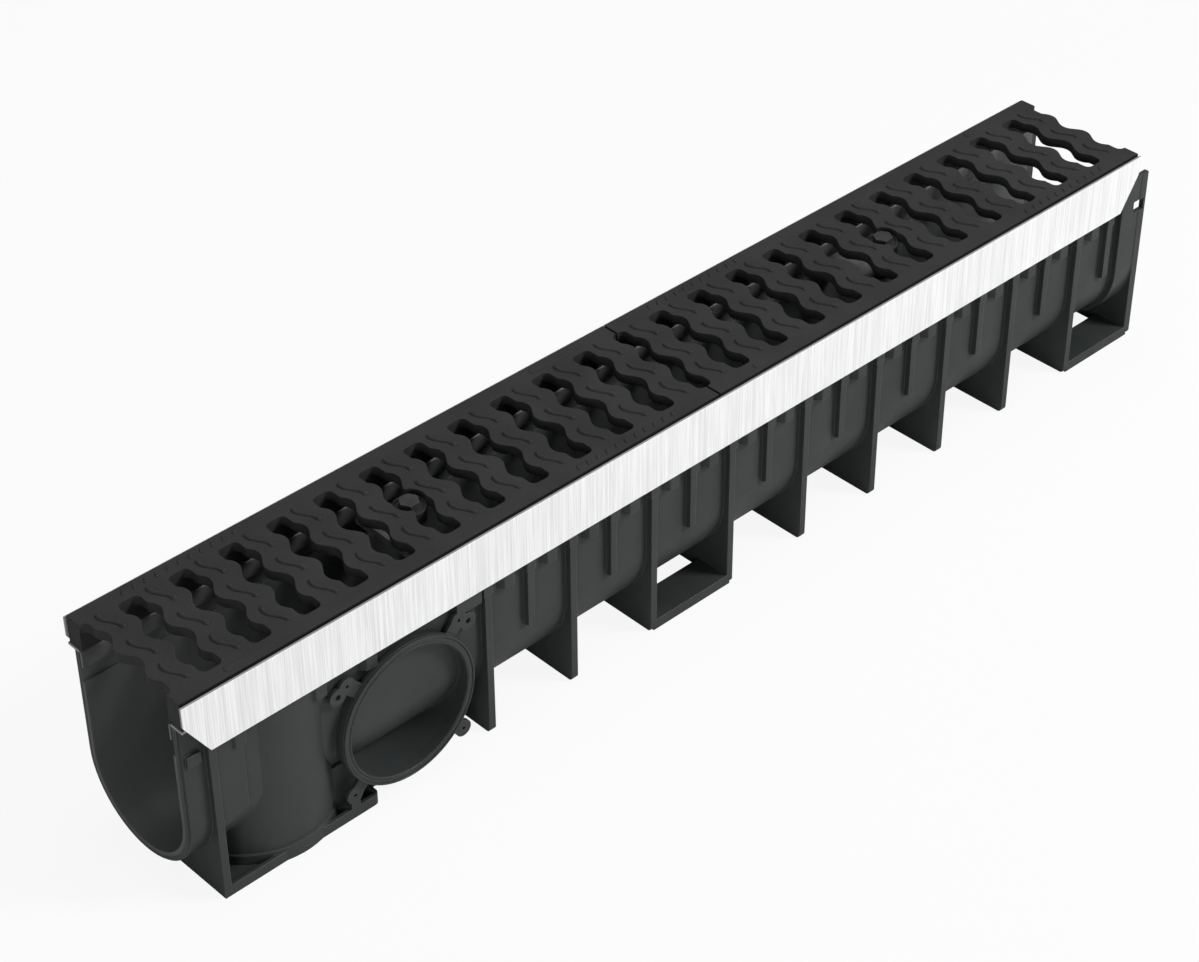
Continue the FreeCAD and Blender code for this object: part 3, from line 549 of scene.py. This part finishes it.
def make_relief(place):
    """Three beads on each bar of one casting, and plain studs and a blank plate on each flange."""
    low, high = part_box("grating_" + place)
    middle = (low.x + high.x) / 2
    mesh = bmesh.new()
    for index in range(SLOT_COUNT + 1):
        x = middle + (index - SLOT_COUNT / 2) * SLOT_PITCH
        for centre in BEAD_CENTRES:
            bead(mesh, x, centre, high.z)
    for turn, end in ((1, low.x), (-1, high.x)):
        for index in range(DASH_COUNT):
            x = end + turn * (DASH_START + index * DASH_PITCH)
            stud(mesh, x, turn * STUD_LINE, high.z, DASH_SIZE, DASH_LEAN)
        stud(mesh, end + turn * PLATE_START, -turn * STUD_LINE, high.z, PLATE_SIZE)
    piece = new_piece("relief_" + place, mesh, IRON)
    piece.data.shade_smooth()
    piece.data.set_sharp_from_angle(angle=RELIEF_SHARP)
    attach(piece, "drain")


make_plugs()
make_wall_rings()
make_outlet_webs()
make_rim_ridges()
make_relief("near")
make_relief("far")


# Studio

FLOOR_HALF = 30
FLOOR_PAPER = grey(0.75)
FLOOR_SHADE_SHARE = 0.10
SURROUND_LIGHT = 0.25
SURROUND_GLOSS = 0.35
LAMP_AIM = Vector((0, 0, 0.1))
LAMPS = [
    ("key", (2.0, -2.4, 2.7), 1.2, 118),
    ("top", (0.1, 0.1, 3.3), 1.6, 34),
    ("front", (-2.5, -1.7, 0.9), 0.9, 15),
]


def floor_white():
    """White for the camera, with a share of real shading left so that a shadow stays."""
    m = new_material("floor_white")
    paper = add(m, "ShaderNodeBsdfDiffuse", Color=FLOOR_PAPER)
    glow = add(m, "ShaderNodeEmission", Color=grey(1.0), Strength=1.0)
    path = add(m, "ShaderNodeLightPath")
    share = add(m, "ShaderNodeMath", operation="MULTIPLY")
    link(m, path.outputs["Is Camera Ray"], share.inputs[0])
    share.inputs[1].default_value = 1 - FLOOR_SHADE_SHARE
    blend = add(m, "ShaderNodeMixShader")
    link(m, share.outputs["Value"], blend.inputs["Fac"])
    link(m, paper.outputs["BSDF"], blend.inputs[1])
    link(m, glow.outputs["Emission"], blend.inputs[2])
    link(m, blend.outputs["Shader"], output(m).inputs["Surface"])
    return m


def make_floor():
    data = bpy.data.meshes.new("floor")
    h = FLOOR_HALF
    data.from_pydata([(-h, -h, 0), (h, -h, 0), (h, h, 0), (-h, h, 0)], [], [(0, 1, 2, 3)])
    data.materials.append(floor_white())
    floor = bpy.data.objects.new("floor", data)
    scene.collection.objects.link(floor)


def make_world():
    """A plain pale surround: full strength for the camera, dim in reflections, dimmer as a lamp."""
    world = bpy.data.worlds.new("surround")
    scene.world = world
    world.use_nodes = True
    world.node_tree.nodes.clear()
    path = add(world, "ShaderNodeLightPath")
    seen = add(world, "ShaderNodeMath", operation="MAXIMUM")
    link(world, path.outputs["Is Camera Ray"], seen.inputs[0])
    link(world, path.outputs["Is Transmission Ray"], seen.inputs[1])
    level = remap(world, seen.outputs["Value"], 0, 1, SURROUND_LIGHT, 1)
    glossy = add(world, "ShaderNodeMapRange", To_Max=SURROUND_GLOSS)
    link(world, path.outputs["Is Glossy Ray"], glossy.inputs["Value"])
    link(world, level, glossy.inputs["To Min"])
    back = add(world, "ShaderNodeBackground")
    link(world, glossy.outputs["Result"], back.inputs["Strength"])
    out = add(world, "ShaderNodeOutputWorld")
    link(world, back.outputs["Background"], out.inputs["Surface"])


def make_lamps():
    """Large soft lamps aimed at the middle of the drain."""
    for name, place, width, power in LAMPS:
        data = bpy.data.lights.new(name, "AREA")
        data.shape = "DISK"
        data.size = width
        data.energy = power
        lamp = bpy.data.objects.new(name, data)
        lamp.location = place
        lamp.rotation_mode = "QUATERNION"
        lamp.rotation_quaternion = (Vector(place) - LAMP_AIM).to_track_quat("Z", "Y")
        scene.collection.objects.link(lamp)


# Camera

CAMERA_PLACE = (-1.26083, -1.25629, 1.42100)
CAMERA_TURN = -0.757087
CAMERA_RISE = 0.649381
CAMERA_ROLL = -0.006285
SENSOR_WIDTH = 36
LENS = 85.81


def make_camera():
    """The photograph's viewpoint: from the left, in front and above, with no shift."""
    turn, rise, roll = CAMERA_TURN, CAMERA_RISE, CAMERA_ROLL
    back = Vector((math.sin(turn) * math.cos(rise), -math.cos(turn) * math.cos(rise), math.sin(rise)))
    level = Vector((0, 0, 1)).cross(back).normalized()
    upward = back.cross(level)
    right = level * math.cos(roll) + upward * math.sin(roll)
    up = upward * math.cos(roll) - level * math.sin(roll)
    data = bpy.data.cameras.new("camera")
    data.sensor_fit = "HORIZONTAL"
    data.sensor_width = SENSOR_WIDTH
    data.lens = LENS
    data.clip_start = 0.05
    data.clip_end = 100
    camera = bpy.data.objects.new("camera", data)
    scene.collection.objects.link(camera)
    matrix = Matrix((right, up, back)).transposed().to_4x4()
    matrix.translation = Vector(CAMERA_PLACE)
    camera.matrix_world = matrix
    scene.camera = camera


make_floor()
make_world()
make_lamps()
make_camera()

bpy.context.view_layer.update()
